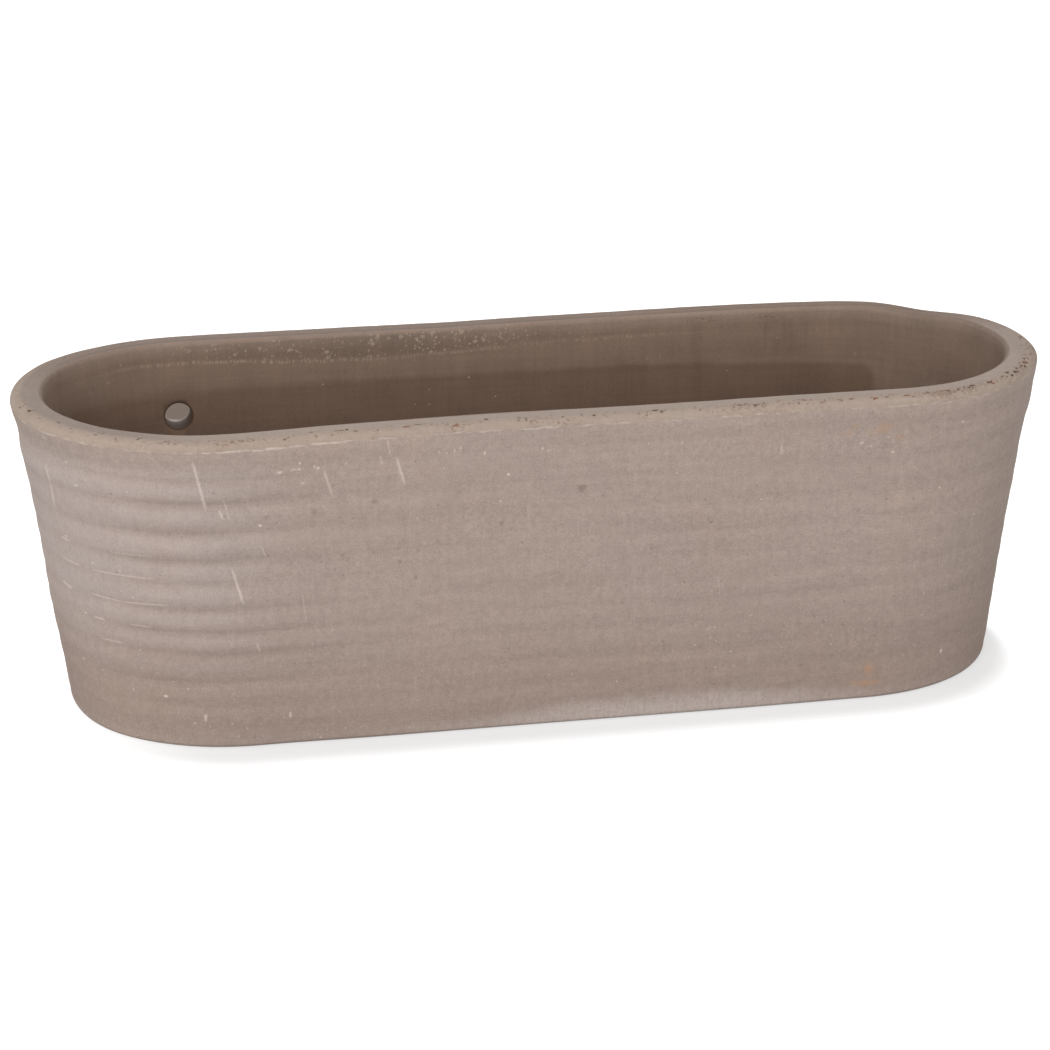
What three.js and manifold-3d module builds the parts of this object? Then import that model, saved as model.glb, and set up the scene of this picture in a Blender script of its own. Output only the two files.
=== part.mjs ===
// A wall planter: one trough of unglazed fired clay, oblong with round ends, thrown and drawn
// out lengthways. Its walls lean out to a bevelled rim and carry soft rings left by the throwing.
// Sizes are in millimetres. +Z is up, X runs along the trough, and the wall that faces the
// building is on +Y. The origin is the middle of the underside, on the ground.

import * as THREE from "three";
import { mergeVertices, toCreasedNormals } from "three/addons/utils/BufferGeometryUtils.js";
import Module from "manifold-3d";

// Overall size, measured over the lip of the rim.
const RIM_LENGTH = 450;
const RIM_WIDTH = 155;
const HEIGHT = 138;

// The outer walls' outline where they would meet the ground. The ends lean in much more than
// the long sides do.
const BASE_LENGTH = 412;
const BASE_WIDTH = 148;
const WALL_FLARE = 0.19; // 0 is a straight lean; more keeps the wall steeper below and opens it above

// Thicknesses of the clay.
const WALL_THICKNESS = 13;
const FLOOR_THICKNESS = 14;
const CAVITY_FILLET = 14;

// The rim: a lip that stands a little proud of the wall, a worn bevel over it and a soft inner edge.
const LIP_REACH = 0.7;
const LIP_FACE = 2.6;
const LIP_UNDERCUT = 2.6;
const BEVEL_REACH = 4.6;
const BEVEL_DROP = 3.6;
const INNER_ROUND = 2.2;

// The foot: the lowest band tucks in a little and turns under with a small round.
const FOOT_LINE = 9;
const FOOT_TUCK = 0.5;
const FOOT_ROUND = 2;

// The throwing rings lie between the foot line and a plain band under the rim. Their uneven
// heights are the maker's hand; they share out whatever height there is between the two.
const TOP_BAND = 17;
const RING_SHARES = [22, 29, 28, 22, 26, 22, 21, 28, 24, 23];
const RING_DEPTH = 0.7;
const RING_FULLNESS = 0.6; // under 1, so that the rings are broad and the grooves between them narrow

// A hole through the back wall, near its left end.
const WALL_HOLE_DIAMETER = 12;
const WALL_HOLE_FROM_END = 77;
const WALL_HOLE_BELOW_RIM = 34;

// Two drain holes through the floor, on the centre line.
const DRAIN_HOLE_DIAMETER = 15;
const DRAIN_HOLE_SPACING = 200;

// How finely the curves are divided.
const END_STEPS = 22;
const ROUND_STEPS = 4;
const RING_SAMPLES = [0, 0.18, 0.5, 0.82];
const CAVITY_STEPS = 6;
const HOLE_STEPS = 32;

// How far a cutting cylinder runs past the clay on each side.
const CUT_MARGIN = 5;

const LIP_TOP = HEIGHT - BEVEL_DROP;
const NECK = LIP_TOP - LIP_FACE - LIP_UNDERCUT;

const firedClay = new THREE.MeshStandardMaterial({
  name: "fired_clay",
  color: 0xa3928a,
  roughness: 0.92,
  metalness: 0,
});

// Half the length and half the width of the outer wall at a height, before lip, rings and foot.
function wallOutline(z) {
  const rise = Math.min(Math.max(z / LIP_TOP, 0), 1);
  const lean = rise + WALL_FLARE * (rise * rise - rise);
  const between = (base, rim) => (base + (rim - 2 * LIP_REACH - base) * lean) / 2;
  return {
    halfLength: between(BASE_LENGTH, RIM_LENGTH),
    halfWidth: between(BASE_WIDTH, RIM_WIDTH),
  };
}

// One level of the loft, as an offset outwards from the wall's outline at its height.
const level = (offset, z) => ({ offset, z });

// The foot, from the edge of the flat underside up to the foot line.
function footLevels() {
  const levels = [];
  for (let i = 0; i <= ROUND_STEPS; i++) {
    const turn = (Math.PI / 2) * (i / ROUND_STEPS);
    const inset = FOOT_TUCK + FOOT_ROUND * (1 - Math.sin(turn));
    levels.push(level(-inset, FOOT_ROUND * (1 - Math.cos(turn))));
  }
  return levels;
}

// The wall with its rings, from the foot line up to the plain band under the rim.
function ringLevels() {
  const field = HEIGHT - TOP_BAND - FOOT_LINE;
  const total = RING_SHARES.reduce((sum, share) => sum + share, 0);
  const levels = [];
  let z = FOOT_LINE;
  for (const share of [...RING_SHARES].reverse()) {
    const ringHeight = (field * share) / total;
    for (const t of RING_SAMPLES) {
      const fullness = Math.sin(Math.PI * t) ** RING_FULLNESS;
      levels.push(level(-RING_DEPTH * (1 - fullness), z + t * ringHeight));
    }
    z += ringHeight;
  }
  levels.push(level(-RING_DEPTH, z));
  return levels;
}

// The rim, from the neck out to the lip, over the bevel and in to the cavity.
function rimLevels() {
  const levels = [level(0, (HEIGHT - TOP_BAND + NECK) / 2), level(0, NECK)];
  levels.push(level(LIP_REACH * 0.7, NECK + LIP_UNDERCUT / 2));
  levels.push(level(LIP_REACH, NECK + LIP_UNDERCUT));
  for (let i = 0; i <= ROUND_STEPS; i++) {
    const turn = (Math.PI / 2) * (i / ROUND_STEPS);
    const offset = LIP_REACH - BEVEL_REACH * (1 - Math.cos(turn));
    levels.push(level(offset, HEIGHT - BEVEL_DROP * (1 - Math.sin(turn))));
  }
  for (let i = 0; i <= ROUND_STEPS; i++) {
    const turn = (Math.PI / 2) * (i / ROUND_STEPS);
    const offset = -WALL_THICKNESS + INNER_ROUND * (1 - Math.sin(turn));
    levels.push(level(offset, HEIGHT - INNER_ROUND * (1 - Math.cos(turn))));
  }
  return levels;
}

// The cavity, from under the rim's inner edge down its walls and round into the floor.
function cavityLevels() {
  const top = HEIGHT - INNER_ROUND;
  const bottom = FLOOR_THICKNESS + CAVITY_FILLET;
  const levels = [];
  for (let i = 1; i <= CAVITY_STEPS; i++) {
    levels.push(level(-WALL_THICKNESS, top + (bottom - top) * (i / CAVITY_STEPS)));
  }
  for (let i = 1; i <= ROUND_STEPS + 1; i++) {
    const turn = (Math.PI / 2) * (i / (ROUND_STEPS + 1));
    const offset = -WALL_THICKNESS - CAVITY_FILLET * (1 - Math.cos(turn));
    levels.push(level(offset, bottom - CAVITY_FILLET * Math.sin(turn)));
  }
  return levels;
}

// The points of one level: an oblong with round ends, anticlockwise seen from above.
function oblong({ offset, z }) {
  const outline = wallOutline(z);
  const radius = outline.halfWidth + offset;
  const centre = outline.halfLength - outline.halfWidth;
  const points = [];
  for (const end of [1, -1]) {
    for (let i = 0; i <= END_STEPS; i++) {
      const turn = Math.PI * (i / END_STEPS - 0.5);
      const x = end * (centre + radius * Math.cos(turn));
      points.push(new THREE.Vector3(x, end * radius * Math.sin(turn), z));
    }
  }
  return points;
}

// A closed skin through the levels, from the underside's edge over the rim to the floor's edge,
// with the underside and the floor closed by flat fans.
function loft(levels) {
  const rows = levels.map(oblong);
  const count = rows[0].length;
  const points = rows.flat();
  const faces = [];
  for (let row = 0; row + 1 < rows.length; row++) {
    for (let i = 0; i < count; i++) {
      const next = (i + 1) % count;
      const [a, b] = [row * count + i, row * count + next];
      faces.push(a, b, b + count, a, b + count, a + count);
    }
  }
  const underside = points.push(new THREE.Vector3(0, 0, levels[0].z)) - 1;
  const floor = points.push(new THREE.Vector3(0, 0, levels.at(-1).z)) - 1;
  const lastRow = (rows.length - 1) * count;
  for (let i = 0; i < count; i++) {
    const next = (i + 1) % count;
    faces.push(underside, next, i);
    faces.push(floor, lastRow + i, lastRow + next);
  }
  const geometry = new THREE.BufferGeometry().setFromPoints(points);
  geometry.setIndex(faces);
  return geometry;
}

// The cylinder that cuts the hole in the back wall, square to the wall's long side.
function wallHoleCutter() {
  const x = -(RIM_LENGTH / 2 - WALL_HOLE_FROM_END);
  const z = HEIGHT - WALL_HOLE_BELOW_RIM;
  const length = RIM_WIDTH / 2 + CUT_MARGIN;
  const radius = WALL_HOLE_DIAMETER / 2;
  const cutter = new THREE.CylinderGeometry(radius, radius, length, HOLE_STEPS);
  return cutter.translate(x, length / 2, z);
}

// The cylinder that cuts one drain hole, at a place along the trough.
function drainHoleCutter(x) {
  const length = FLOOR_THICKNESS + 2 * CUT_MARGIN;
  const radius = DRAIN_HOLE_DIAMETER / 2;
  const cutter = new THREE.CylinderGeometry(radius, radius, length, HOLE_STEPS);
  return cutter.rotateX(Math.PI / 2).translate(x, 0, FLOOR_THICKNESS / 2);
}

const wasm = await Module();
wasm.setup();

function toSolid(geometry) {
  geometry.deleteAttribute("normal");
  geometry.deleteAttribute("uv");
  const merged = mergeVertices(geometry, 1e-4);
  const vertProperties = new Float32Array(merged.getAttribute("position").array);
  const triVerts = new Uint32Array(merged.index.array);
  return new wasm.Manifold(new wasm.Mesh({ numProp: 3, vertProperties, triVerts }));
}

function toGeometry(solid) {
  const mesh = solid.getMesh();
  const geometry = new THREE.BufferGeometry();
  geometry.setAttribute("position", new THREE.BufferAttribute(mesh.vertProperties, 3));
  geometry.setIndex(new THREE.BufferAttribute(mesh.triVerts, 1));
  return toCreasedNormals(geometry, Math.PI / 6);
}

// The whole trough: the lofted vessel with its three holes cut through.
function planterBody() {
  const levels = [...footLevels(), ...ringLevels(), ...rimLevels(), ...cavityLevels()];
  let solid = toSolid(loft(levels)).subtract(toSolid(wallHoleCutter()));
  for (const side of [-1, 1]) {
    solid = solid.subtract(toSolid(drainHoleCutter((side * DRAIN_HOLE_SPACING) / 2)));
  }
  const body = new THREE.Mesh(toGeometry(solid), firedClay);
  body.name = "planter_body";
  return body;
}

const planter = new THREE.Group();
planter.add(planterBody());

export default planter;
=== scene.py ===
"""The looks of a wall planter: an oblong trough of worn fired clay in a plain studio."""

import math

import bmesh
import bpy
import numpy as np
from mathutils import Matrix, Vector, noise


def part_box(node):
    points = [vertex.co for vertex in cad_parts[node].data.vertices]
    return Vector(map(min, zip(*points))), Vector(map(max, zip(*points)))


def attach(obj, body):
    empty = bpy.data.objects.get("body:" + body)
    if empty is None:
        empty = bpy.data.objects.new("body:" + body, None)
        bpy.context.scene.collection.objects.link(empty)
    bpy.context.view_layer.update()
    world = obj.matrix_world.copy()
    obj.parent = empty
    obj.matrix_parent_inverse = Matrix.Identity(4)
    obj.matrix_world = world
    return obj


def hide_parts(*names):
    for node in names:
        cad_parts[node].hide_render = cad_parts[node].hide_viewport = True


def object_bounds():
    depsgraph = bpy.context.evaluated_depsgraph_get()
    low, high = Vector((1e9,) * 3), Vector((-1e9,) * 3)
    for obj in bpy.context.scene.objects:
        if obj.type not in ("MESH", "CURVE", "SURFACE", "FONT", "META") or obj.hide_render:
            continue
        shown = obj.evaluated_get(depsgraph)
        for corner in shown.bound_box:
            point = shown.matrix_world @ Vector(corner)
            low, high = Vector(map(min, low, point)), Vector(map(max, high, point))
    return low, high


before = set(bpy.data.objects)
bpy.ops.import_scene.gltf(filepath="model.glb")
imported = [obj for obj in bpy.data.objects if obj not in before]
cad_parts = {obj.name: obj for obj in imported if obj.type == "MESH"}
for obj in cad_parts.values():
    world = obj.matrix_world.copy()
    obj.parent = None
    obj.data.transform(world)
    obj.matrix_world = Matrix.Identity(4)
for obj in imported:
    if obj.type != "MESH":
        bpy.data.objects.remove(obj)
CAD_LOW, CAD_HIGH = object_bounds()
BODY_LOW, BODY_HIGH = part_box("planter_body")

bl_info = {
    "name": "Fired clay wall planter",
    "version": (1, 0, 0),
    "blender": (4, 5, 0),
    "location": "View3D > Sidebar > Planter",
    "description": "Makes an oblong trough of worn fired clay and the studio it stands in",
    "category": "Object",
}

MM = 0.001


# ---- Sizes and colours that a user would change ----


def size_of(name, description, default):
    """A length in metres."""
    return bpy.props.FloatProperty(
        name=name, description=description, default=default, min=0, precision=4, unit="LENGTH"
    )


def share_of(name, description, default):
    """A bare number, such as a share or a strength."""
    return bpy.props.FloatProperty(name=name, description=description, default=default)


def count_of(name, description, default):
    """How many of something."""
    return bpy.props.IntProperty(name=name, description=description, default=default, min=1)


def colour_of(name, description, red, green, blue):
    """A colour as a screen shows it, 0 to 255, kept as the light it sends back."""
    seen = np.array([red, green, blue]) / 255
    light = np.where(seen <= 0.04045, seen / 12.92, ((seen + 0.055) / 1.055) ** 2.4)
    return bpy.props.FloatVectorProperty(
        name=name, description=description, default=(*light.tolist(), 1.0), size=4,
        subtype="COLOR", min=0, max=1,
    )


class PlanterShape(bpy.types.PropertyGroup):
    """The sizes of the trough. The overall ones come from the frame."""

    rim_length: size_of("Rim length", "Length over the lip of the rim", BODY_HIGH.x - BODY_LOW.x)
    rim_width: size_of("Rim width", "Width over the lip of the rim", BODY_HIGH.y - BODY_LOW.y)
    height: size_of("Height", "From the ground to the top of the rim", BODY_HIGH.z - BODY_LOW.z)
    base_length: size_of("Base length", "Length of the walls' outline at the ground", 0.412)
    base_width: size_of("Base width", "Width of the walls' outline at the ground", 0.148)
    wall_flare: share_of("Wall flare", "How much more the walls open towards the rim", 0.19)
    wall_thickness: size_of("Wall thickness", "Thickness of the walls", 0.013)
    floor_thickness: size_of("Floor thickness", "Thickness of the floor", 0.014)
    cavity_fillet: size_of("Cavity fillet", "Round between the walls and the floor", 0.014)
    lip_reach: size_of("Lip reach", "How far the lip stands proud of the wall", 0.0007)
    lip_face: size_of("Lip face", "Height of the lip's upright face", 0.0026)
    lip_undercut: size_of("Lip undercut", "Height over which the wall swells to the lip", 0.008)
    bevel_reach: size_of("Bevel reach", "Width of the worn bevel on the rim", 0.0046)
    bevel_drop: size_of("Bevel drop", "Height of the worn bevel on the rim", 0.0036)
    inner_round: size_of("Inner round", "Round of the rim's inner edge", 0.0022)
    foot_line: size_of("Foot line", "Height of the groove above the foot", 0.009)
    foot_tuck: size_of("Foot tuck", "How far the foot stands back", 0.0005)
    foot_round: size_of("Foot round", "Round under the foot", 0.002)
    top_band: size_of("Top band", "Height of the plain band under the rim", 0.017)
    ring_depth: size_of("Ring depth", "Depth of the deepest throwing grooves", 0.0007)
    ring_fullness: share_of("Ring fullness", "Lower gives broader rings and narrower grooves", 1.5)
    wall_hole: size_of("Wall hole", "Diameter of the hole through the back wall", 0.012)
    wall_hole_from_end: size_of("Wall hole from end", "From the left end of the rim", 0.077)
    wall_hole_below_rim: size_of("Wall hole below rim", "From the top of the rim", 0.034)
    drain_hole: size_of("Drain hole", "Diameter of the holes through the floor", 0.015)
    drain_spacing: size_of("Drain spacing", "Between the two drain holes", 0.2)
    hole_round: size_of("Hole round", "Soft edge round each hole", 0.0006)
    straight_steps: count_of("Straight steps", "Columns of faces along each long wall", 120)
    round_steps: count_of("Round steps", "Columns of faces round each end", 104)
    rim_fineness: count_of("Rim fineness", "Columns on the rim for each one on the walls", 3)


class PlanterClay(bpy.types.PropertyGroup):
    """The colours of the clay and of what the years have left on it."""

    clay: colour_of("Clay", "Most of the outside", 166, 149, 139)
    warm_clay: colour_of("Warm clay", "Patches that fired pinker", 169, 149, 137)
    grey_clay: colour_of("Grey clay", "Patches that fired greyer", 163, 148, 139)
    rim_clay: colour_of("Rim clay", "The weathered bevel of the rim", 164, 147, 134)
    rim_flat: colour_of("Rim flat", "The flat top of the rim", 162, 147, 137)
    worn_edge: colour_of("Worn edge", "The rim's outer edge, rubbed pale", 200, 185, 174)
    dark_grain: colour_of("Dark grain", "Sand grains and pores", 108, 92, 82)
    lime: colour_of("Lime", "Lime left by hard water", 208, 199, 194)
    scuff: colour_of("Scuff", "Scratches and knocks in the clay", 219, 203, 193)
    # Partly painted light: it also makes the left end paler where light falls.
    bloom_and_light: colour_of("Bloom", "Pale bluish bloom at the ends", 204, 198, 200)
    # Painted shade: the colour the lower wall and the grooves are darkened towards.
    shaded_low_clay: colour_of("Low clay", "The lowest part, darkened by splashes", 150, 131, 120)
    soil: colour_of("Soil", "Soil in the pits of the rim", 78, 58, 46)
    red_soil: colour_of("Red soil", "Rusty flecks in the rim", 132, 90, 68)
    inside: colour_of("Inside", "The dry upper part of the inside", 127, 107, 93)
    inside_top: colour_of("Inside top", "The inside just under the rim", 144, 125, 112)
    # Painted shade and shadow on the lower inside.
    inside_shadow: colour_of("Damp", "The lower inside, stained by wet soil", 103, 82, 68)
    crust: colour_of("Crust", "Cream crust at the tide mark", 178, 160, 142)
    rust: colour_of("Rust", "Small orange stains", 184, 142, 106)


class PlanterStudio(bpy.types.PropertyGroup):
    """The camera, the lamps and the floor."""

    azimuth: share_of("Azimuth", "Degrees round the planter, 0 in front of it", -11.77)
    elevation: share_of("Elevation", "Degrees above the horizon", 19.49)
    distance: size_of("Distance", "From the camera to the planter's middle", 1.5215)
    lens: share_of("Lens", "Focal length in millimetres", 118.6)
    ambient: share_of("Ambient", "Strength of the even light from all round", 0.48)
    key_strength: share_of("Key strength", "Power of the large lamp in front, in watts", 33.5)
    left_strength: share_of("Left strength", "Power of the lamp at the left, in watts", 19.0)
    right_strength: share_of("Right strength", "Power of the lamp at the right, in watts", 15.0)
    back_strength: share_of("Back strength", "Power of the lamp behind, in watts", 18.0)
    floor: colour_of("Floor", "The pale floor", 178, 178, 178)
    # The colour of the shadow painted on the floor where it is seen through the hole.
    floor_shade: colour_of("Floor shade", "The ground seen through the hole", 135, 121, 110)
    floor_lift: share_of("Floor lift", "How much whiter the camera sees the floor", 0.92)
    backdrop: colour_of("Backdrop", "What the camera sees of the floor and sky", 255, 255, 255)


# ---- The form of the clay ----

# The throwing rings from the rim down, uneven by the maker's hand.
RINGS = (
    # share of the wall's height, depth of the groove over the ring
    (22, 0.5), (29, 1), (28, 0.95), (22, 1), (26, 0.8), (22, 1), (21, 1.05), (28, 1), (24, 0.95),
    (23, 0.6),
)
# Where a ring is sampled, closer together near its grooves, which are narrow.
RING_SAMPLES = np.array([0, 0.05, 0.14, 0.3, 0.5, 0.7, 0.86, 0.95])

# Where the hand-made form leaves the regular one at a place on the rim, in millimetres.
LEANS = (
    # x, y, reach, rim out, foot out, rise
    (-140, -77, 36, 0, -1.1, -1.3), (-200, -36, 27, 0, 1.5, 0), (-222, -8, 30, 0, -0.6, 0),
    (-208, 46, 25, 0.5, 0.2, 0.4), (-35, -77, 55, -1.5, 0, 0), (85, -77, 70, 0, 0.9, 0),
    (-25, 77, 26, 0, 0, -0.4), (82, 77, 26, 0.3, 0, 0.25), (158, 77, 22, -0.2, 0, -0.75),
    (197, 58, 22, -2.8, -0.6, -1.8), (225, -4, 36, 0.3, 1.2, 0), (192, -46, 32, 0, 1.2, 0),
)

# Bulges in the wall under a place on the rim, in millimetres.
BULGES = (
    # x, y, reach, z, reach in z, out
    (222, -10, 48, 119, 11, 1.4), (222, -10, 40, 84, 16, 0.4), (-222, -10, 40, 127, 7, -0.4),
    (-222, -10, 40, 113, 7, 0.5), (-222, -10, 40, 48, 16, 0.7), (-222, -10, 40, 14, 12, -0.5),
)

# Larger pits in the worn bevel, in millimetres, with their inset from the rim's edge.
LARGE_PITS = (
    # x, y, inset, length, width, depth
    (-222, -22, 3, 1.4, 0.8, 0.7), (-220, -34, 2.4, 1, 0.6, 0.4), (-193, -60, 4.6, 1, 0.7, 0.5),
    (-179, -70, 3.4, 0.7, 0.8, 0.5), (-96, -77, 4, 2.9, 0.6, 0.5), (-93, -77, 4.6, 0.8, 1.1, 0.7),
    (-89, -77, 2.2, 1.9, 0.5, 0.4), (-68, -77, 2.6, 2.1, 0.7, 0.6), (-63, -77, 3.9, 2, 0.5, 0.4),
    (-57, -77, 3, 0.9, 0.5, 0.4), (-46, -77, 4.3, 0.7, 0.4, 0.4), (11, -77, 2.3, 1.1, 0.6, 0.6),
    (37, -77, 3.6, 2.2, 0.6, 0.7), (73, -77, 3.2, 1.1, 0.6, 0.5), (90, -77, 4.6, 1.6, 0.4, 0.4),
    (121, -77, 2.2, 1.9, 0.5, 0.5), (132, -77, 1.8, 1.5, 0.6, 0.5), (146, -77, 2.6, 2, 0.6, 0.6),
    (166, -74, 3.2, 1.4, 0.7, 0.6), (178, -70, 3.6, 1.2, 1, 0.6), (187, -65, 2.6, 2, 0.7, 0.7),
    (200, -55, 4.2, 1.1, 1.2, 0.7), (203, -52, 2.2, 1.5, 0.7, 0.7), (212, -41, 3, 2.1, 0.9, 0.8),
    (215, -36, 4.2, 1.5, 0.7, 0.6),
)

# All pits, and the seed of the small ones.
PIT_COUNT = 560
PIT_SEED = 11

# The faces round a hole's cutter, and how far it runs past the clay.
HOLE_STEPS = 48
CUT_MARGIN = 2 * MM


def clay_noise(points, size, seed):
    """Smooth noise from -1 to 1 over points, with lumps about as large as size."""
    shift = Vector((17.1, 5.3, 9.7)) * seed
    flat = points.reshape(-1, 3).tolist()
    values = [noise.noise(Vector(point) / size + shift) for point in flat]
    return np.array(values).reshape(points.shape[:-1])


def around(straight_steps, round_steps):
    """Each column's place along the centre line, from -1 to 1, and the way it faces."""
    columns = []
    for end in (1, -1):
        turn = math.pi * (np.arange(round_steps) / round_steps - 0.5)
        at_end = np.full(round_steps, end)
        columns.append(np.column_stack([at_end, end * np.cos(turn), end * np.sin(turn)]))
        share = end * (1 - 2 * np.arange(straight_steps) / straight_steps)
        still = np.zeros(straight_steps)
        columns.append(np.column_stack([share, still, np.full(straight_steps, end)]))
    return np.concatenate(columns)


def wall_outline(shape, height):
    """Half the length and half the width of the plain outer wall at a height."""
    lip_top = shape.height - shape.bevel_drop
    rise = np.clip(height / lip_top, 0, 1)
    lean = rise + shape.wall_flare * (rise**2 - rise)

    def between(base, rim):
        return (base + (rim - 2 * shape.lip_reach - base) * lean) / 2

    return between(shape.base_length, shape.rim_length), between(shape.base_width, shape.rim_width)


def stack(*stretches):
    """Joins stretches of levels, each an offset from the wall's outline, a height and how much
    of a throwing groove it holds."""
    rows = []
    for offset, height, groove in stretches:
        parts = np.broadcast_arrays(np.atleast_1d(offset), height, groove)
        rows.append(np.stack(parts, axis=1).astype(float))
    return np.concatenate(rows)


def foot_levels(shape):
    """The underside from near its middle, and the round of the foot."""
    edge = -shape.foot_tuck - shape.foot_round
    middle = -shape.base_width / 2
    underside = np.linspace(middle, edge, 7)[:-1]
    turn = np.linspace(0, math.pi / 2, 7)
    offset = -shape.foot_tuck - shape.foot_round * (1 - np.sin(turn))
    return stack((underside, 0, 0), (offset, shape.foot_round * (1 - np.cos(turn)), 0))


def ring_levels(shape):
    """The wall with its throwing rings, and over them the plain band that swells to the lip."""
    foot = np.linspace(shape.foot_round, shape.foot_line, 4)[1:-1]
    back = -shape.foot_tuck * (1 - (foot - foot[0]) / (shape.foot_line - foot[0]))
    stretches = [(back, foot, 0)]
    field = shape.height - shape.top_band - shape.foot_line
    total = sum(share for share, _ in RINGS)
    hollow = 1 - np.sin(math.pi * RING_SAMPLES) ** shape.ring_fullness
    low, groove_below = shape.foot_line, 0.5
    for share, groove_above in reversed(RINGS):
        ring_height = field * share / total
        depth = groove_below + (groove_above - groove_below) * RING_SAMPLES
        stretches.append((0, low + RING_SAMPLES * ring_height, hollow * depth))
        low += ring_height
        groove_below = groove_above

    lip_low = shape.height - shape.bevel_drop - shape.lip_face
    neck = lip_low - shape.lip_undercut
    band = np.linspace(low, neck, 6)
    settled = np.sin(math.pi / 2 * np.linspace(0, 1, 6)) ** shape.ring_fullness
    swell = np.linspace(0, 1, 6)[1:-1]
    swelling = shape.lip_reach * swell**2 * (3 - 2 * swell)
    stretches.append((0, band, groove_below * (1 - settled)))
    stretches.append((swelling, neck + swell * shape.lip_undercut, 0))
    return stack(*stretches)


def rim_levels(shape):
    """The rim's upright face, its worn bevel and its flat top."""
    lip_top = shape.height - shape.bevel_drop
    face = np.linspace(lip_top - shape.lip_face, lip_top, 5)[:-1]
    turn = np.linspace(0, math.pi / 2, 11)
    over = shape.lip_reach - shape.bevel_reach * (1 - np.cos(turn))
    flat = np.linspace(over[-1], -shape.wall_thickness + shape.inner_round, 9)[1:-1]
    return stack(
        (shape.lip_reach, face, 0),
        (over, shape.height - shape.bevel_drop * (1 - np.sin(turn)), 0),
        (flat, shape.height, 0),
    )


def cavity_levels(shape):
    """The rim's inner edge, the inner wall and the floor to near its middle."""
    inner_edge = -shape.wall_thickness + shape.inner_round
    top = shape.height - shape.inner_round
    bottom = shape.floor_thickness + shape.cavity_fillet
    rounding = np.linspace(0, math.pi / 2, 7)
    wall = np.linspace(top, bottom, 24)[1:]
    turn = np.linspace(0, math.pi / 2, 9)[1:]
    inwards = -shape.wall_thickness - shape.cavity_fillet * (1 - np.cos(turn))
    _, half_width = wall_outline(shape, np.array(shape.floor_thickness))
    floor = np.linspace(inwards[-1], -half_width, 6)[1:]
    return stack(
        (
            inner_edge - shape.inner_round * np.sin(rounding),
            shape.height - shape.inner_round * (1 - np.cos(rounding)),
            0,
        ),
        (-shape.wall_thickness, wall, 0),
        (inwards, bottom - shape.cavity_fillet * np.sin(turn), 0),
        (floor, shape.floor_thickness, 0),
    )


def facing(levels):
    """The way each level faces: how much outwards and how much up."""
    path = np.gradient(levels[:, :2], axis=0)
    normal = np.stack([path[:, 1], -path[:, 0]], axis=1)
    return normal / np.maximum(np.linalg.norm(normal, axis=1, keepdims=True), 1e-9)


def round_the_wall(columns, centre, radius):
    """x and y of each column on an oblong, whose ends turn round a centre with a radius."""
    return columns[:, 0] * centre + columns[:, 1] * radius, columns[:, 2] * radius


def rim_place(shape, columns):
    """Where each column meets the edge of the rim, seen from above, and the way round to it."""
    radius = shape.rim_width / 2
    x, y = round_the_wall(columns, shape.rim_length / 2 - radius, radius)
    steps = np.hypot(np.diff(x, append=x[0]), np.diff(y, append=y[0]))
    return np.stack([x, y], axis=1), np.concatenate([[0], np.cumsum(steps)[:-1]])


def away_from(place, x, y, reach=1):
    """How far each place on the rim is from a point, as a share of the reach in millimetres."""
    return np.hypot(place[:, 0] - x * MM, place[:, 1] - y * MM) / (reach * MM)


def leaning(shape, columns, height):
    """How far the hand-made form goes outwards and up, for each level and column."""
    place, _ = rim_place(shape, columns)
    rise = (height / shape.height)[:, None]
    out = np.zeros((len(height), len(columns)))
    up = np.zeros_like(out)
    for x, y, reach, rim_out, foot_out, lift in LEANS:
        near = np.exp(-(away_from(place, x, y, reach) ** 2))[None, :]
        out += near * MM * (foot_out + (rim_out - foot_out) * rise)
        up += near * MM * lift * rise**3
    for x, y, reach, z, z_reach, bulge in BULGES:
        away = away_from(place, x, y, reach)[None, :]
        above = (height - z * MM)[:, None] / (z_reach * MM)
        out += bulge * MM * np.exp(-(away**2) - above**2)
    return out, up


def groove_depths(shape, columns, points):
    """How deep the throwing grooves are: deepest round the left end, faint along the front."""
    place, _ = rim_place(shape, columns)
    left = np.clip((-place[:, 0] - 0.1) / 0.06, 0, 1)
    far_left = np.clip((-place[:, 0] - 0.185) / 0.03, 0, 1)
    right = np.clip((place[:, 0] - 0.13) / 0.08, 0, 1)
    strength = 0.34 + 0.62 * left - 0.6 * far_left - 0.1 * right
    drift = 1 + 0.4 * clay_noise(points, 0.05, 3)
    return shape.ring_depth * strength[None, :] * drift


def pit_depths(shape, columns, levels):
    """How deep the pits of the rim are. Its bevel is roughest at the right."""
    place, along = rim_place(shape, columns)
    whole = along[-1] + (along[-1] - along[-2])
    inset = -levels[:, 0]
    on_rim = levels[:, 1] > shape.height - shape.bevel_drop - shape.lip_face
    pits = []
    for x, y, deep_in, length, width, depth in LARGE_PITS:
        nearest = np.argmin(away_from(place, x, y))
        pits.append((along[nearest], deep_in * MM, length * MM, width * MM, depth * MM))
    chance = np.random.default_rng(PIT_SEED)
    while len(pits) < PIT_COUNT:
        spot = chance.integers(len(columns))
        x, y = place[spot]
        likely = 0.15 + 0.5 * (x > 0.08) * (y < 0) + 0.3 * (y < 0)
        draw, deep_in, length, width, depth = chance.random(5)
        if draw < likely:
            size = (0.5 + length**2, 0.35 + 0.35 * width, 0.15 + 0.35 * depth**2)
            pits.append((along[spot], (1 + 4.4 * deep_in) * MM, *(value * MM for value in size)))
    depths = np.zeros((len(levels), len(columns)))
    for way, deep_in, length, width, depth in pits:
        beside = np.abs((along - way + whole / 2) % whole - whole / 2) / length
        across = np.abs(inset - deep_in) / width
        far = np.hypot(across[:, None], beside[None, :])
        depths = np.maximum(depths, depth * np.clip(1 - far**2, 0, 1))
    return depths * on_rim[:, None]


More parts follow.
